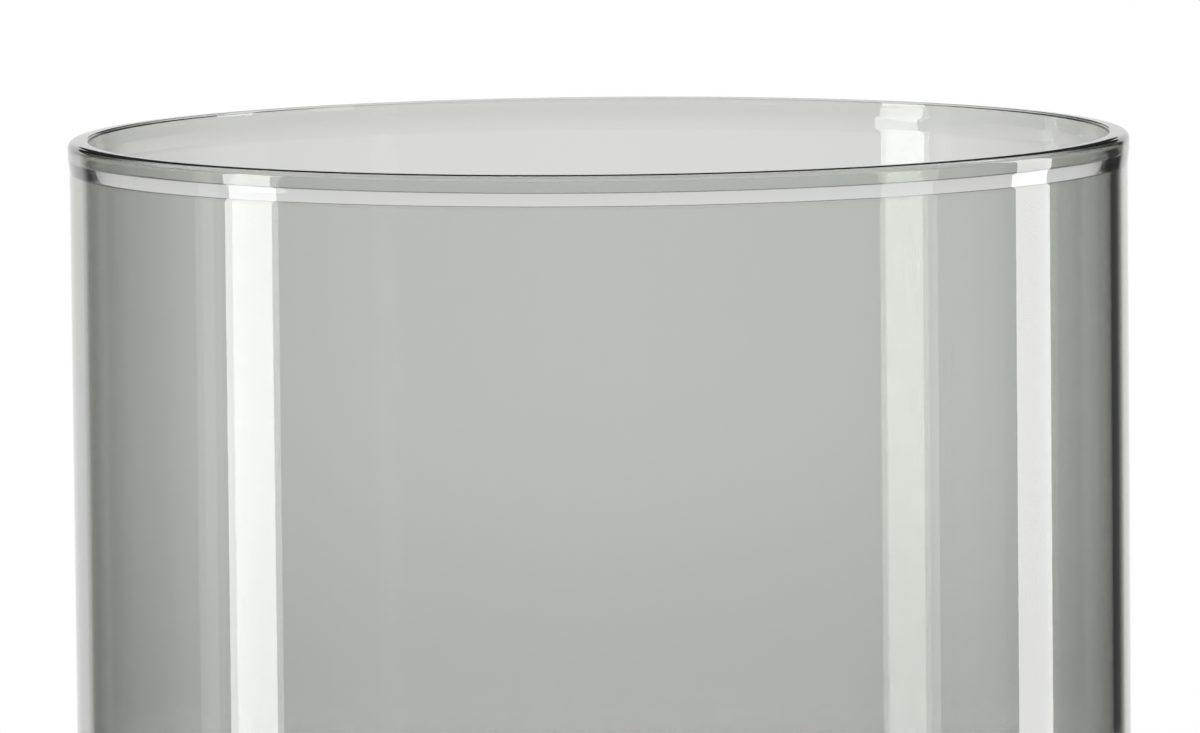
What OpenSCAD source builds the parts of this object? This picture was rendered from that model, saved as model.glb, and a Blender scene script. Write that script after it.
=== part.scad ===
// Smoked glass cylinder vase: a drawn tube with a fire-polished lip,
// bonded to a polished glass disc that stands on four clear bumpers.
// Millimetres, +Z up, origin on the table under the middle of the vase.

/* [Cylinder] */
// Outside diameter of the tube and of the base disc
outer_d = 150; // [80:1:250]
// Height from the table to the top of the lip
height = 250; // [120:1:500]
// Wall thickness of the tube
wall = 2.4; // [1.6:0.1:5]

/* [Lip] */
// How far the fire-polished lip swells out of the wall, inside and outside
lip_swell = 0.26; // [0.1:0.02:0.8]
// Height of the tapered shoulder where the wall thickens into the lip
lip_taper = 2; // [1:0.1:6]
// Height of the straight land between the shoulder and the outer rounding
lip_land = 1.4; // [0.2:0.1:4]
// Slope of the lip's top, which falls from the bore to the outside
lip_tilt = 3; // [0:0.5:6]
// Radius of the lip's outer corner
lip_round_out = 0.85; // [0.3:0.05:1.1]
// Radius of the lip's inner corner
lip_round_in = 0.3; // [0.1:0.05:0.5]

/* [Base] */
// Thickness of the base disc
base_t = 8; // [4:0.5:20]
// Chamfer ground on the edges of the disc and on the foot of the tube
arris = 0.5; // [0.2:0.1:0.7]

/* [Bond] */
// Thickness of the clear adhesive film between tube and disc
bond_t = 0.15; // [0.05:0.05:0.5]
// Width of the adhesive fillet along the inside of the joint
bond_fillet = 0.6; // [0.3:0.1:1.5]

/* [Feet] */
// Diameter of each clear bumper where it sticks to the disc
foot_d = 10; // [6:0.5:20]
// Thickness of each bumper, the gap between disc and table
foot_t = 1.6; // [1:0.1:5]
// Rounding of each bumper's lower edge
foot_round = 0.8; // [0.3:0.1:0.9]
// Distance from the disc's edge to each bumper's centre
foot_inset = 16; // [12:0.5:30]

/* [Hidden] */
$fn = 180;
outer_r = outer_d / 2;
inner_r = outer_r - wall;
middle_r = outer_r - wall / 2;
lip_half = wall / 2 + lip_swell;
disc_z = foot_t;
film_z = disc_z + base_t;
tube_z = film_z + bond_t;
corner_in = [middle_r - lip_half + lip_round_in, height - lip_round_in];
corner_gap = 2 * lip_half - lip_round_in - lip_round_out;
corner_drop = (lip_round_out - lip_round_in) / cos(lip_tilt) + corner_gap * tan(lip_tilt);
corner_out = corner_in + [corner_gap, -corner_drop];
lip_top_way = [sin(lip_tilt), cos(lip_tilt)];
shoulder_z = corner_out.y - lip_land;
wall_top_z = shoulder_z - lip_taper;
foot_r = foot_d / 2;
foot_place_r = outer_r - foot_inset;
first_foot_angle = 45;
foot_step_angle = 90;

// The tube's section on one side of the wall's middle line, from the ground
// foot up to the lip: the wall and the tapered shoulder.
function wall_outline(side) = [
    [middle_r + side * (wall / 2 - arris), tube_z],
    [middle_r + side * wall / 2, tube_z + arris],
    [middle_r + side * wall / 2, wall_top_z],
    [middle_r + side * lip_half, shoulder_z]
];

// The lip's top from the outside to the bore. The sloped top touches both
// of the circles that round its corners.
function lip_outline() = [
    corner_out + [lip_round_out, 0],
    corner_out,
    corner_out + lip_round_out * lip_top_way,
    corner_in + lip_round_in * lip_top_way,
    corner_in,
    corner_in - [lip_round_in, 0]
];

// Drawn tube: ground flat below, thickened and melted soft at the top
module glass_cylinder() {
    inside = wall_outline(-1);
    outside = wall_outline(1);
    downwards = [for (i = [len(inside) - 1 : -1 : 0]) inside[i]];
    color([0.42, 0.44, 0.42, 0.45])
        rotate_extrude() {
            polygon(concat(outside, lip_outline(), downwards));
            translate(corner_out) circle(r = lip_round_out);
            translate(corner_in) circle(r = lip_round_in);
        }
}

// Round plate of the same glass, its two edges chamfered and polished
module base_disc() {
    color([0.36, 0.38, 0.36, 0.6])
        rotate_extrude()
            polygon([
                [0, disc_z],
                [outer_r - arris, disc_z],
                [outer_r, disc_z + arris],
                [outer_r, film_z - arris],
                [outer_r - arris, film_z],
                [0, film_z]
            ]);
}

// Cured film under the tube's ground end, with the sloped fillet that was
// squeezed out of it along the inside corner
module bond_ring() {
    color([0.92, 0.95, 0.96, 0.5])
        rotate_extrude()
            polygon([
                [inner_r - bond_fillet, film_z],
                [outer_r - arris, film_z],
                [outer_r - arris, tube_z],
                [inner_r + arris, tube_z],
                [inner_r, tube_z + arris]
            ]);
}

// Clear self-adhesive bumper, flat above and rounded at its lower edge
module bumper_foot(number) {
    angle = first_foot_angle + (number - 1) * foot_step_angle;
    color([0.85, 0.88, 0.9, 0.6])
        rotate([0, 0, angle])
            translate([foot_place_r, 0, 0])
                rotate_extrude() {
                    square([foot_r - foot_round, foot_t]);
                    translate([0, foot_round])
                        square([foot_r, foot_t - foot_round]);
                    translate([foot_r - foot_round, foot_round])
                        circle(r = foot_round);
                }
}

glass_cylinder();
base_disc();
bond_ring();
bumper_foot(1);  // bumper_foot_1
bumper_foot(2);  // bumper_foot_2
bumper_foot(3);  // bumper_foot_3
bumper_foot(4);  // bumper_foot_4
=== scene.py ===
# %% [markdown]
# # Smoked glass cylinder vase
# This lesson dresses a finished CAD model of a glass vase. The CAD holds every size and place,
# and Blender makes clean glass surfaces, real glass materials and the light that glass needs.
# All lengths are in metres, with Z up and the origin on the table under the vase. MM turns a
# length into millimetres where that reads better in print.

# %% Load the frame
import math

import bpy
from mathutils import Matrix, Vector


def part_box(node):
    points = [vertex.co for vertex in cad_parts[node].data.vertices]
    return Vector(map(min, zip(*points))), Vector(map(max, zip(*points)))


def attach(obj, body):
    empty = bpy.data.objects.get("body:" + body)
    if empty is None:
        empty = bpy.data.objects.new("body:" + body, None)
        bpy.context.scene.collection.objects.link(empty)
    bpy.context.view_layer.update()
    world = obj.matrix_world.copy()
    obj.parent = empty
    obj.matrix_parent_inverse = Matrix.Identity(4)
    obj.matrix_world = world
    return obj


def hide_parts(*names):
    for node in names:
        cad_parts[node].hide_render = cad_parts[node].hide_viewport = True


MM = 1000

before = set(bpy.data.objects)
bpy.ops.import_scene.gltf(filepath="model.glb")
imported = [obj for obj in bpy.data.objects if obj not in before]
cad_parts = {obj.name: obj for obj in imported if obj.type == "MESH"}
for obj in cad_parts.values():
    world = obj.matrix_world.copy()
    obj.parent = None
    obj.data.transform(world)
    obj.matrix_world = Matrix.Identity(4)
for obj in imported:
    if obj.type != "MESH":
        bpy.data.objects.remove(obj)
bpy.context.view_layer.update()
print("CAD nodes:", sorted(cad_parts))

# %% [markdown]
# ## Sizes
# The tube is the same all round, so its whole shape is one section: how far each part of the
# wall is from the axis, and how high. The outer sizes are read from the CAD pieces. The sizes
# that a box can't show, such as the wall, are named here. A hair is the small length by which
# points are told apart, and by which bonded pieces reach into each other.

# %% Sizes read from the frame
tube_low, tube_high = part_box("glass_cylinder")
disc_low, disc_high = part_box("base_disc")
foot_low, foot_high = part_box("bumper_foot_1")

WALL = 0.0024
ARRIS = 0.0005
LIP_SHOULDER = 0.0020
LIP_LAND = 0.0014
LIP_SLOPE = math.tan(math.radians(3))
LIP_ROUND_OUT = 0.00085
LIP_ROUND_IN = 0.0003
FILLET = 0.0006
FOOT_ROUND = 0.0008
HAIR = 0.00002

outer_r = disc_high.x
inner_r = outer_r - WALL
swell = tube_high.x - outer_r
lip_half = WALL / 2 + swell
middle_r = outer_r - WALL / 2
rim_z = tube_high.z
lip_fall = 2 * lip_half * LIP_SLOPE
inner_corner_z = rim_z + LIP_ROUND_IN * LIP_SLOPE
outer_corner_z = inner_corner_z - lip_fall
shoulder_z = outer_corner_z + LIP_ROUND_OUT * LIP_SLOPE - LIP_ROUND_OUT - LIP_LAND
wall_top_z = shoulder_z - LIP_SHOULDER
tube_foot_z = tube_low.z
disc_foot_z, disc_top_z = disc_low.z, disc_high.z
foot_r = (foot_high.x - foot_low.x) / 2
foot_top_z = foot_high.z
print(f"tube {2 * outer_r * MM:.1f} mm wide, rim at {rim_z * MM:.1f} mm")
print(f"wall {WALL * MM:.1f} mm thick, lip {2 * lip_half * MM:.2f} mm thick")

# %% [markdown]
# ## The camera
# The view is a close one of the rim, taken from a little above it with a long lens, so the
# mouth is a thin ellipse and the two sides stay almost parallel. The camera leans by half a
# degree, as a hand-set tripod does.

# %% Camera
VIEW_DISTANCE = 1.8
VIEW_ABOVE_RIM = math.radians(4.32)
VIEW_LEAN = math.radians(0.56)
FRAME_WIDTH = 0.1702
AIM_BELOW_RIM = 0.0331
AIM_RIGHT = -0.0001
SENSOR_MM = 36.0
SEEN_UP_TO = 50.0

camera_data = bpy.data.cameras.new("camera")
camera = bpy.data.objects.new("camera", camera_data)
bpy.context.scene.collection.objects.link(camera)
camera.location = (
    AIM_RIGHT,
    -VIEW_DISTANCE * math.cos(VIEW_ABOVE_RIM),
    rim_z + VIEW_DISTANCE * math.sin(VIEW_ABOVE_RIM),
)
drop = camera.location.z - (rim_z - AIM_BELOW_RIM)
pitch = math.atan2(drop, -camera.location.y)
camera.rotation_euler = (math.pi / 2 - pitch, 0, 0)
bpy.context.view_layer.update()
camera.rotation_euler.rotate_axis("Z", -VIEW_LEAN)
camera_data.sensor_width = SENSOR_MM
camera_data.lens = SENSOR_MM * VIEW_DISTANCE / FRAME_WIDTH
camera_data.clip_end = SEEN_UP_TO
bpy.context.scene.camera = camera
print(f"lens {camera_data.lens:.0f} mm, pitched down {math.degrees(pitch):.2f} degrees")

# %% [markdown]
# ## Drawing a section
# Every glass piece is turned on a lathe, in effect: a flat section is drawn beside the axis
# and spun once round it. These helpers draw the section as a rectangle, pick points of it by
# their place, cut it across and round its corners.

# %% Helpers for a section


def everything_off():
    """Leaves edit mode and deselects every object."""
    if bpy.context.object and bpy.context.object.mode != "OBJECT":
        bpy.ops.object.mode_set(mode="OBJECT")
    bpy.ops.object.select_all(action="DESELECT")


def section(name, near, far, low, high):
    """A rectangle in the XZ plane: from near to far off the axis, and from low to high."""
    everything_off()
    middle = ((near + far) / 2, 0, (low + high) / 2)
    bpy.ops.mesh.primitive_plane_add(size=1, location=middle, rotation=(math.pi / 2, 0, 0))
    piece = bpy.context.object
    piece.name = piece.data.name = name
    piece.scale = (far - near, high - low, 1)
    bpy.ops.object.transform_apply(location=True, rotation=True, scale=True)
    return piece


def pick(piece, test):
    """Enters edit mode with just the points selected whose place passes the test."""
    if piece.mode != "OBJECT":
        bpy.ops.object.mode_set(mode="OBJECT")
    bpy.ops.object.mode_set(mode="EDIT")
    bpy.ops.mesh.select_mode(type="VERT")
    bpy.ops.mesh.select_all(action="DESELECT")
    bpy.ops.object.mode_set(mode="OBJECT")
    for point in piece.data.vertices:
        point.select = test(point.co)
    bpy.ops.object.mode_set(mode="EDIT")


def cut_level(piece, *heights):
    """Cuts the section across at each height, so that it has points there."""
    for height in heights:
        pick(piece, lambda co: True)
        bpy.ops.mesh.bisect(plane_co=(0, 0, height), plane_no=(0, 0, 1))


def round_corners(piece, test, radius, steps):
    """Rounds (or with one step, chamfers) the corners of the section that pass the test."""
    pick(piece, test)
    bpy.ops.mesh.bevel(
        offset_type="OFFSET", offset=radius, segments=steps, profile=0.5, affect="VERTICES"
    )


# %% [markdown]
# ## Turning the section
# Before the spin, only the section's outline is kept, and not the part of it that lies on the
# axis, so the solid has a skin and nothing inside. After it, the points where the turn starts
# and ends are merged, and so are those on the axis. A closed solid has two faces at every
# edge, and counting the edges that don't is a quick check.

# %% Helpers for turning
TURN_STEPS = 384
ON_AXIS = 1e-7
SAME_POINT = 1e-6
SHARP_FROM = math.radians(30)


def turn(piece, steps=TURN_STEPS):
    """Spins the section's outline round the Z axis into a closed solid."""
    pick(piece, lambda co: True)
    bpy.ops.mesh.select_mode(type="EDGE")
    bpy.ops.mesh.region_to_loop()
    bpy.ops.mesh.select_all(action="INVERT")
    bpy.ops.mesh.delete(type="EDGE_FACE")
    bpy.ops.mesh.select_all(action="SELECT")
    bpy.ops.mesh.delete(type="ONLY_FACE")
    pick(piece, lambda co: abs(co.x) < ON_AXIS)
    bpy.ops.mesh.select_mode(type="EDGE")
    bpy.ops.mesh.delete(type="EDGE_FACE")
    pick(piece, lambda co: True)
    bpy.ops.mesh.spin(steps=steps, angle=2 * math.pi, center=(0, 0, 0), axis=(0, 0, 1))
    bpy.ops.mesh.select_all(action="SELECT")
    bpy.ops.mesh.remove_doubles(threshold=SAME_POINT)
    bpy.ops.mesh.normals_make_consistent(inside=False)
    everything_off()


def smooth(piece):
    """Shades the piece smooth, but keeps its ground edges sharp."""
    everything_off()
    piece.select_set(True)
    bpy.context.view_layer.objects.active = piece
    bpy.ops.object.shade_smooth_by_angle(angle=SHARP_FROM)
    everything_off()


def count(piece):
    """Prints the piece's size in faces, and how many edges don't join just two faces."""
    joins = {}
    for face in piece.data.polygons:
        for edge in face.edge_keys:
            joins[edge] = joins.get(edge, 0) + 1
    open_edges = sum(faces != 2 for faces in joins.values())
    print(f"{piece.name}: {len(piece.data.polygons)} faces, {open_edges} open edges")


# %% [markdown]
# ## The tube
# The wall is a thin tall rectangle. Near its top it thickens over a short shoulder, because
# soft glass draws back into a bead when the cut edge is fire-polished. The top of the bead
# falls a few degrees from the bore to the outside, and is rounded far more outside than
# inside. The foot is ground flat with two small chamfers. Soft glass has no crisp corners, so
# the shoulder's ends are rounded too, and each long face gets a spare line of points near its
# end to keep its shading flat.

# %% Tube
SOFT_CORNER = 0.0002
GUARD = 0.0004
OUT_STEPS, IN_STEPS, SOFT_STEPS = 10, 6, 4

tube = section("glass_tube", inner_r, outer_r, tube_foot_z, rim_z)
cut_level(tube, wall_top_z, shoulder_z)
pick(tube, lambda co: co.z > shoulder_z - HAIR)
bpy.ops.transform.resize(
    value=(lip_half * 2 / WALL, 1, 1), center_override=(middle_r, 0, 0), orient_type="GLOBAL"
)
pick(tube, lambda co: co.z > rim_z - HAIR and co.x > middle_r)
bpy.ops.transform.translate(value=(0, 0, outer_corner_z - rim_z))
pick(tube, lambda co: co.z > rim_z - HAIR and co.x < middle_r)
bpy.ops.transform.translate(value=(0, 0, inner_corner_z - rim_z))
round_corners(
    tube, lambda co: co.z > outer_corner_z - HAIR and co.x > middle_r, LIP_ROUND_OUT, OUT_STEPS
)
round_corners(
    tube, lambda co: co.z > inner_corner_z - HAIR and co.x < middle_r, LIP_ROUND_IN, IN_STEPS
)
round_corners(tube, lambda co: abs(co.z - wall_top_z) < HAIR, SOFT_CORNER, SOFT_STEPS)
round_corners(tube, lambda co: abs(co.z - shoulder_z) < HAIR, SOFT_CORNER, SOFT_STEPS)
round_corners(tube, lambda co: co.z < tube_foot_z + HAIR, ARRIS, 1)
cut_level(tube, wall_top_z - SOFT_CORNER - GUARD, tube_foot_z + ARRIS + GUARD)
turn(tube)
smooth(tube)
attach(tube, "root")
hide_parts("glass_cylinder")
count(tube)

# %% [markdown]
# ## The base disc
# The bottom is a plate of the same glass. Its two edges are chamfered, and polished so well
# that they shine as bright lines.

# %% Base disc
disc = section("glass_base", 0, outer_r, disc_foot_z, disc_top_z)
round_corners(disc, lambda co: co.x > outer_r - HAIR, ARRIS, 1)
turn(disc)
smooth(disc)
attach(disc, "root")
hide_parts("base_disc")
count(disc)

# %% [markdown]
# ## The adhesive film
# A clear adhesive that ultraviolet light hardens joins the tube to the disc. It is a film
# 0.15 millimetres thick, with a little sloped fillet squeezed out inside. It reaches a hair,
# a fiftieth of a millimetre, into both pieces of glass, so that light passes from one to the
# next and no face lies exactly on another.

# %% Adhesive film
film = section(
    "adhesive_film", inner_r - FILLET, outer_r - ARRIS, disc_top_z - HAIR, tube_foot_z + HAIR
)
cut_level(film, tube_foot_z)
pick(film, lambda co: co.z > tube_foot_z + HAIR / 2 and co.x < middle_r)
bpy.ops.transform.translate(value=(FILLET + ARRIS, 0, 0))
pick(film, lambda co: abs(co.z - tube_foot_z) < HAIR / 2 and co.x < middle_r)
bpy.ops.transform.translate(value=(FILLET, 0, ARRIS))
turn(film)
smooth(film)
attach(film, "root")
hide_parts("bond_ring")
count(film)

# %% [markdown]
# ## The bumper feet
# Four small clear buttons of soft plastic keep the glass off the table. One is turned as a
# flat button with a rounded lower edge, and the others are copies with their own meshes.

# %% Bumper feet
FOOT_STEPS, FOOT_ROUND_STEPS = 64, 6

button = section("bumper", 0, foot_r, 0, foot_top_z + HAIR)
round_corners(
    button, lambda co: co.x > foot_r - HAIR and co.z < HAIR, FOOT_ROUND, FOOT_ROUND_STEPS
)
turn(button, FOOT_STEPS)
smooth(button)
bumpers = []
for number in (1, 2, 3, 4):
    low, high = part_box(f"bumper_foot_{number}")
    bumper = button.copy()
    bumper.data = button.data.copy()
    bumper.name = bumper.data.name = f"bumper_{number}"
    bpy.context.scene.collection.objects.link(bumper)
    everything_off()
    bumper.select_set(True)
    bpy.context.view_layer.objects.active = bumper
    bumper.location = ((low.x + high.x) / 2, (low.y + high.y) / 2, 0)
    bpy.ops.object.transform_apply(location=True, rotation=False, scale=False)
    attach(bumper, "root")
    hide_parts(f"bumper_foot_{number}")
    bumpers.append(bumper)
bpy.data.objects.remove(button)
count(bumpers[0])

# %% [markdown]
# ## Shader maths as sums
# A material is a small net of nodes. This class wraps one output of a node, so that sums on
# it add Math nodes, in place of a row of boxes wired by hand.

# %% Wires


class Wire:
    """One output of a node, or of a sum of nodes."""

    def __init__(self, tree, socket):
        self.tree, self.socket = tree, socket

    def sum(self, operation, *others):
        """Adds a Math node that takes this wire first, and then the others."""
        node = self.tree.nodes.new("ShaderNodeMath")
        node.operation = operation
        for place, value in enumerate((self, *others)):
            feed(self.tree, node.inputs[place], value)
        return Wire(self.tree, node.outputs[0])

    def flipped(self, operation, first):
        """Adds a Math node that takes this wire second, as in 1 - mask."""
        node = self.tree.nodes.new("ShaderNodeMath")
        node.operation = operation
        feed(self.tree, node.inputs[0], first)
        feed(self.tree, node.inputs[1], self)
        return Wire(self.tree, node.outputs[0])

    def __add__(self, other):
        return self.sum("ADD", other)

    def __sub__(self, other):
        return self.sum("SUBTRACT", other)

    def __mul__(self, other):
        return self.sum("MULTIPLY", other)

    def __truediv__(self, other):
        return self.sum("DIVIDE", other)

    def __rsub__(self, other):
        return self.flipped("SUBTRACT", other)

    def __rtruediv__(self, other):
        return self.flipped("DIVIDE", other)

    __radd__ = __add__
    __rmul__ = __mul__


def feed(tree, socket, value):
    """Links a wire to a socket, or sets the socket's own value."""
    if isinstance(value, Wire):
        tree.links.new(value.socket, socket)
    else:
        socket.default_value = value


# %% [markdown]
# ## Recipes
# A finish, a world and a light all hold a net of nodes. A recipe empties the net, and then
# adds any node with its settings and sockets in one call.

# %% Recipes


class Recipe:
    """The node tree of one finish, emptied and ready to fill."""

    def __init__(self, owner):
        owner.use_nodes = True
        self.tree = owner.node_tree
        self.tree.nodes.clear()

    def node(self, kind, settings=None, sockets=None, out=0):
        """Adds a node: its settings first, then its sockets. Returns the wire it gives out."""
        node = self.tree.nodes.new(kind)
        settings = dict(settings or {})
        stops = settings.pop("stops", None)
        for name, value in settings.items():
            setattr(node, name, value)
        if stops:
            ramp = node.color_ramp.elements
            while len(ramp) < len(stops):
                ramp.new(0.5)
            for element, (place, colour) in zip(ramp, stops):
                element.position, element.color = place, colour
        for name, value in (sockets or {}).items():
            feed(self.tree, node.inputs[name], value)
        return Wire(self.tree, node.outputs[out]) if len(node.outputs) else node

    def parts(self, vector):
        """The X, Y and Z of a vector as three wires."""
        node = self.tree.nodes.new("ShaderNodeSeparateXYZ")
        feed(self.tree, node.inputs[0], vector)
        return [Wire(self.tree, output) for output in node.outputs]

    def band(self, wire, start, end, low=0.0, high=1.0):
        """A smooth step from low to high as the wire goes from start to end."""
        return self.node(
            "ShaderNodeMapRange",
            {"interpolation_type": "SMOOTHSTEP"},
            {0: wire, 1: start, 2: end, 3: low, 4: high},
        )


def finish(name, *pieces):
    """A new material given to the pieces, and its recipe."""
    material = bpy.data.materials.new(name)
    for piece in pieces:
        piece.data.materials.clear()
        piece.data.materials.append(material)
    return Recipe(material)


# %% [markdown]
# ## Smoked glass
# Smoke grey is in the glass, not on it: light loses a little for each millimetre it travels,
# so a thick edge is darker than a wall seen square on. Volume absorption does just that. Its
# node absorbs density times what the colour lacks of white. So what the glass absorbs of red,
# green and blue for each metre is turned into those two, with the colour's darkest part at a
# half. The grey keeps slightly more green than red or blue, as iron in glass does.
# Drawn tube has faint straight lines along it, a few thousandths of a millimetre high, which
# a bump with a pattern stretched along Z gives. The base colour is darker towards the bottom
# of the tube, as painted shade where less light falls, and a little darker in the lip, as
# painted shade that dims the light bands refracted there. The base plate takes less light for
# each millimetre than the tube, or its full width, seen from the side, would be black.

# %% Smoked glass
GLASS_IOR = 1.5
SMOKE = (129.0, 125.0, 137.0)
PLATE_SHARE = 0.55
# Painted shade: where and how much the glass base colour is darkened, low down and in the lip.
SHADE_FULL_BELOW, SHADE_CLEAR_ABOVE, LOW_SHADE = 0.155, 0.215, 0.90
LIP_SHADE_BLEND, LIP_SHADE = 0.0008, 0.935
LINES_ROUND, LINES_ALONG, LINE_HEIGHT = 120, 0.6, 0.000012
DARKEST_PART = 0.5


def smoke_volume(recipe, taken_per_metre):
    """Absorption with the given strengths in red, green and blue for each metre."""
    density = max(taken_per_metre) / (1 - DARKEST_PART)
    colour = [1 - taken / density for taken in taken_per_metre]
    return recipe.node(
        "ShaderNodeVolumeAbsorption", {}, {"Color": (*colour, 1), "Density": density}
    )


def smoked_glass(name, piece, smoke, drawn):
    """Clear glass with smoke in it. Drawn glass also has lines along it and painted shade at its
    ends.
    """
    recipe = finish(name, piece)
    place = recipe.node("ShaderNodeTexCoord", {}, {}, "Object")
    x, y, z = recipe.parts(place)
    sockets = {"IOR": GLASS_IOR, "Transmission Weight": 1.0, "Roughness": 0.0}
    sockets["Base Color"] = (1, 1, 1, 1)
    if drawn:
        stretched = recipe.node(
            "ShaderNodeCombineXYZ",
            {},
            {0: x * LINES_ROUND, 1: y * LINES_ROUND, 2: z * LINES_ALONG},
        )
        lines = recipe.node(
            "ShaderNodeTexNoise", {}, {"Vector": stretched, "Scale": 1.0, "Detail": 2.0}
        )
        sockets["Normal"] = recipe.node(
            "ShaderNodeBump", {}, {"Height": lines, "Strength": 1.0, "Distance": LINE_HEIGHT}
        )
        # Painted shade in the base colour: darker towards the bottom of the tube and in the lip.
        painted_low_shade = recipe.band(z, SHADE_FULL_BELOW, SHADE_CLEAR_ABOVE, LOW_SHADE, 1.0)
        painted_lip_shade = recipe.band(z, wall_top_z - LIP_SHADE_BLEND, wall_top_z, 1.0, LIP_SHADE)
        sockets["Base Color"] = painted_low_shade * painted_lip_shade
    shader = recipe.node("ShaderNodeBsdfPrincipled", {}, sockets)
    volume = smoke_volume(recipe, smoke)
    recipe.node("ShaderNodeOutputMaterial", {}, {"Surface": shader, "Volume": volume})


smoked_glass("smoked_glass", tube, SMOKE, drawn=True)
smoked_glass("smoked_glass_plate", disc, [PLATE_SHARE * taken for taken in SMOKE], drawn=False)
print("smoke takes", [round(1 - math.exp(-k * WALL), 3) for k in SMOKE], "of light in one wall")

# %% [markdown]
# ## Clear adhesive and bumpers
# Both are clear plastics. The adhesive is as clear as glass. The bumpers are slightly milky,
# so they are a little rough and keep a pale tint.

# %% Clear plastics
BUMPER_IOR = 1.49
CLOUD_SCALE, CLOUD_LOW, CLOUD_HIGH = 900.0, 0.3, 0.7
SMOOTHEST, ROUGHEST = 0.12, 0.28

recipe = finish("clear_adhesive", film)
shader = recipe.node(
    "ShaderNodeBsdfPrincipled",
    {},
    {
        "IOR": GLASS_IOR,
        "Transmission Weight": 1.0,
        "Roughness": 0.02,
        "Base Color": (0.95, 0.97, 0.96, 1),
    },
)
recipe.node("ShaderNodeOutputMaterial", {}, {"Surface": shader})

recipe = finish("clear_bumper", *bumpers)
place = recipe.node("ShaderNodeTexCoord", {}, {}, "Object")
cloud = recipe.node(
    "ShaderNodeTexNoise", {}, {"Vector": place, "Scale": CLOUD_SCALE, "Detail": 3.0}
)
shader = recipe.node(
    "ShaderNodeBsdfPrincipled",
    {},
    {
        "IOR": BUMPER_IOR,
        "Transmission Weight": 0.9,
        "Roughness": recipe.band(cloud, CLOUD_LOW, CLOUD_HIGH, SMOOTHEST, ROUGHEST),
        "Base Color": (0.9, 0.93, 0.93, 1),
    },
)
recipe.node("ShaderNodeOutputMaterial", {}, {"Surface": shader})
print("materials:", sorted(material.name for material in bpy.data.materials))

# %% [markdown]
# ## The studio
# Glass has hardly a look of its own: it shows what stands round it. All of this studio is
# the world's own light, set by direction. Directions round the vase are in degrees to the
# right of Y, which points at the backdrop's middle:
# - The backdrop is white, and dark cards stand on both sides of it. The cards draw the dark
#   lines down the edges of the glass. Past them the room is grey, with a paler panel at each
#   side.
# - Above the backdrop the room is dark, which draws the thin black line along the rim's top.
#   The dark starts lowest right behind the middle, and higher towards the sides.
# - A large soft light hangs overhead, and the ground below the floor's edge is as pale as
#   the floor.

# %% World
FULL_TURN = 360
BACKDROP, LEFT_CARD, RIGHT_CARD = 1.00, 0.18, 0.08
BESIDE, PANEL, BEHIND = 0.45, 0.75, 0.50
ROUND_THE_VASE = (
    (-180, -122, BEHIND),
    (-116, -98, BESIDE),
    (-97, -83, PANEL),
    (-82, -76, BESIDE),
    (-70, -32, LEFT_CARD),
    (-27, 19, BACKDROP),
    (23, 70, RIGHT_CARD),
    (76, 82, BESIDE),
    (83, 97, PANEL),
    (98, 116, BESIDE),
    (122, 180, BEHIND),
)
DARK_FROM_MIDDLE, DARK_FROM_SIDES = 5.5, 11.0
MIDDLE_HALF, DARK_EDGE_SLOPE = 3.2, 1.6
DARK_EDGE = 0.3
ROOM_LIGHT = 0.04
OVERHEAD_FROM, OVERHEAD_FULL, OVERHEAD = 22.0, 34.0, 1.5
GROUND_FROM, GROUND_FULL, GROUND = -8.0, -10.0, 1.0

world = bpy.data.worlds.new("studio")
bpy.context.scene.world = world
recipe = Recipe(world)
way = recipe.node("ShaderNodeTexCoord", {}, {}, "Generated")
x, y, z = recipe.parts(way)
off_back = x.sum("ARCTAN2", y) / math.radians(1)
rise = z.sum("ARCSINE") / math.radians(1)
stops = [
    (0.5 + degrees / FULL_TURN, (level, level, level, 1))
    for start, end, level in ROUND_THE_VASE
    for degrees in (start, end)
]
around = recipe.node("ShaderNodeValToRGB", {"stops": stops}, {0: off_back / FULL_TURN + 0.5})
past_middle = (off_back.sum("ABSOLUTE") - MIDDLE_HALF).sum("MAXIMUM", 0.0)
dark_from = (past_middle * DARK_EDGE_SLOPE + DARK_FROM_MIDDLE).sum("MINIMUM", DARK_FROM_SIDES)
room = recipe.band(rise - dark_from, 0.0, DARK_EDGE)
light = around * (1 - room) + around * room * ROOM_LIGHT
above = recipe.band(rise, OVERHEAD_FROM, OVERHEAD_FULL)
light = light * (1 - above) + above * OVERHEAD
below = recipe.band(rise, GROUND_FROM, GROUND_FULL)
light = light * (1 - below) + below * GROUND
shine = recipe.node("ShaderNodeBackground", {}, {"Color": (1, 1, 1, 1), "Strength": light})
recipe.node("ShaderNodeOutputWorld", {}, {"Surface": shine})
print(f"dark from {DARK_FROM_MIDDLE} degrees up in the middle, {DARK_FROM_SIDES} at the sides")

# %% [markdown]
# ## Strip lights
# Tall narrow soft boxes stand on the floor at the two sides. Their reflections are the bright
# bands that run down the glass. They are seen only in those reflections: a strip's light
# counts the mirror bounces on its way and shines if there is at least one, so a view straight
# through the glass isn't spoilt by a white box behind it. The two on the right are also kept
# out of light that has passed through glass. They then show once, on the outside of the wall,
# and not again on the inside of the wall across from it.

# %% Strip lights
FACES_RIGHT, FACES_LEFT = -math.pi / 2, math.pi / 2
LEFT_TALL, RIGHT_TALL = 0.53, 0.45


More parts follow.
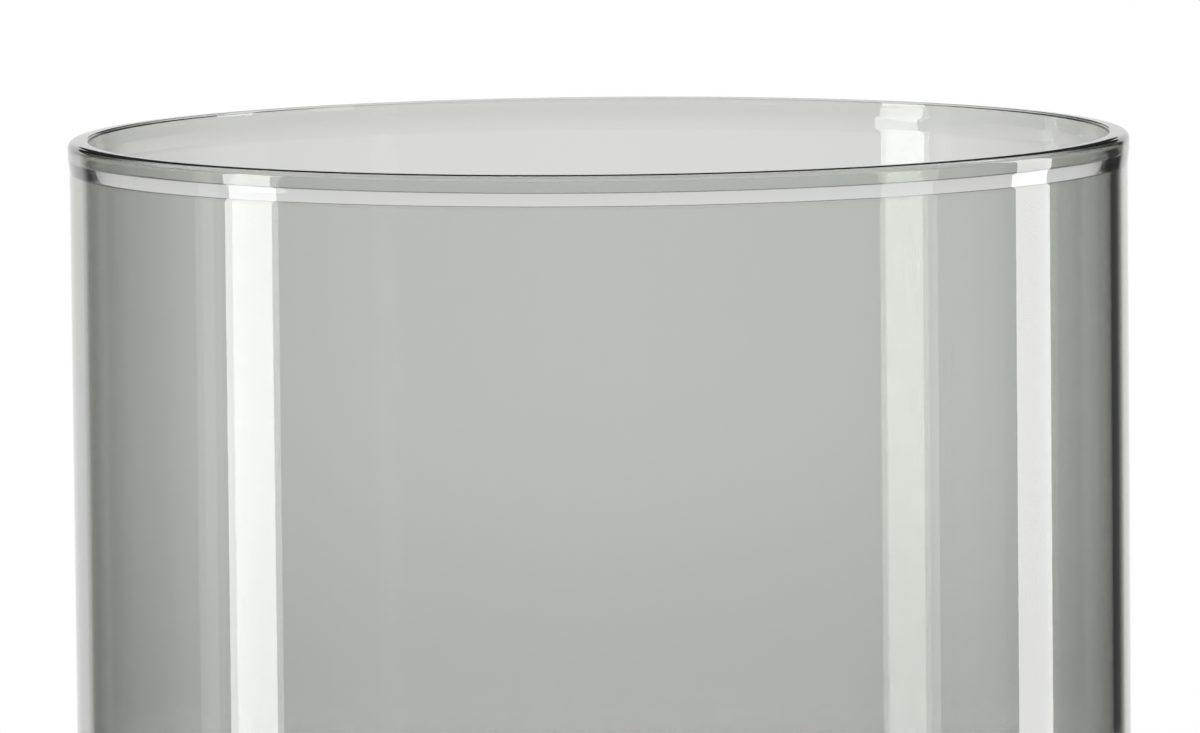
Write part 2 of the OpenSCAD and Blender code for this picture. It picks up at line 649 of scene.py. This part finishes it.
def strip(name, place, width, height, aim_turn, power, through_glass):
    """A tall area light that stands at place, turned about Z so that it faces the vase."""
    data = bpy.data.lights.new(name, "AREA")
    data.shape = "RECTANGLE"
    data.size, data.size_y = width, height
    data.energy = power
    recipe = Recipe(data)
    mirrored = recipe.node("ShaderNodeLightPath", {}, {}, "Glossy Depth").sum("MINIMUM", 1.0)
    glow = recipe.node("ShaderNodeEmission", {}, {"Color": (1, 1, 1, 1), "Strength": mirrored})
    recipe.node("ShaderNodeOutputLight", {}, {"Surface": glow})
    light = bpy.data.objects.new(name, data)
    bpy.context.scene.collection.objects.link(light)
    light.location = (*place, height / 2)
    light.rotation_euler = (math.pi / 2, 0, aim_turn)
    light.visible_camera = False
    light.visible_transmission = through_glass


strip("left_strip", (-0.74, -0.1587), 0.173, LEFT_TALL, FACES_RIGHT, 1.92, through_glass=True)
strip("left_weak_strip", (-0.74, 0.0075), 0.075, LEFT_TALL, FACES_RIGHT, 0.0735, through_glass=True)
strip("right_strip", (0.4, 0.07), 0.089, RIGHT_TALL, FACES_LEFT, 0.726, through_glass=False)
strip("right_weak_strip", (0.6, -0.254), 0.156, RIGHT_TALL, FACES_LEFT, 0.40, through_glass=False)

# %% [markdown]
# ## Floor
# The floor is a plain pale disc. It fades out before it reaches the edge, so it melts into
# the backdrop.

# %% Floor
FLOOR_R, FLOOR_SIDES = 1.4, 96
FADE_FROM, FADE_TO = 1.2, 1.39
FLOOR_GREY = 0.82

everything_off()
bpy.ops.mesh.primitive_circle_add(vertices=FLOOR_SIDES, radius=FLOOR_R, fill_type="NGON")
floor = bpy.context.object
floor.name = "floor"
recipe = finish("pale_floor", floor)
place = recipe.node("ShaderNodeTexCoord", {}, {}, "Object")
far = recipe.node("ShaderNodeVectorMath", {"operation": "LENGTH"}, {0: place}, "Value")
grey = recipe.node("ShaderNodeBsdfDiffuse", {}, {"Color": (FLOOR_GREY, FLOOR_GREY, FLOOR_GREY, 1)})
clear = recipe.node("ShaderNodeBsdfTransparent")
shader = recipe.node(
    "ShaderNodeMixShader", {}, {0: recipe.band(far, FADE_FROM, FADE_TO), 1: grey, 2: clear}
)
recipe.node("ShaderNodeOutputMaterial", {}, {"Surface": shader})
print(f"floor {2 * FLOOR_R} m wide, fading out from {FADE_FROM} m")

# %% [markdown]
# ## Picture settings
# The backdrop has to come out white and the greys true, so the picture is shown without a
# film curve.

# %% Finish
bpy.context.scene.view_settings.view_transform = "Standard"
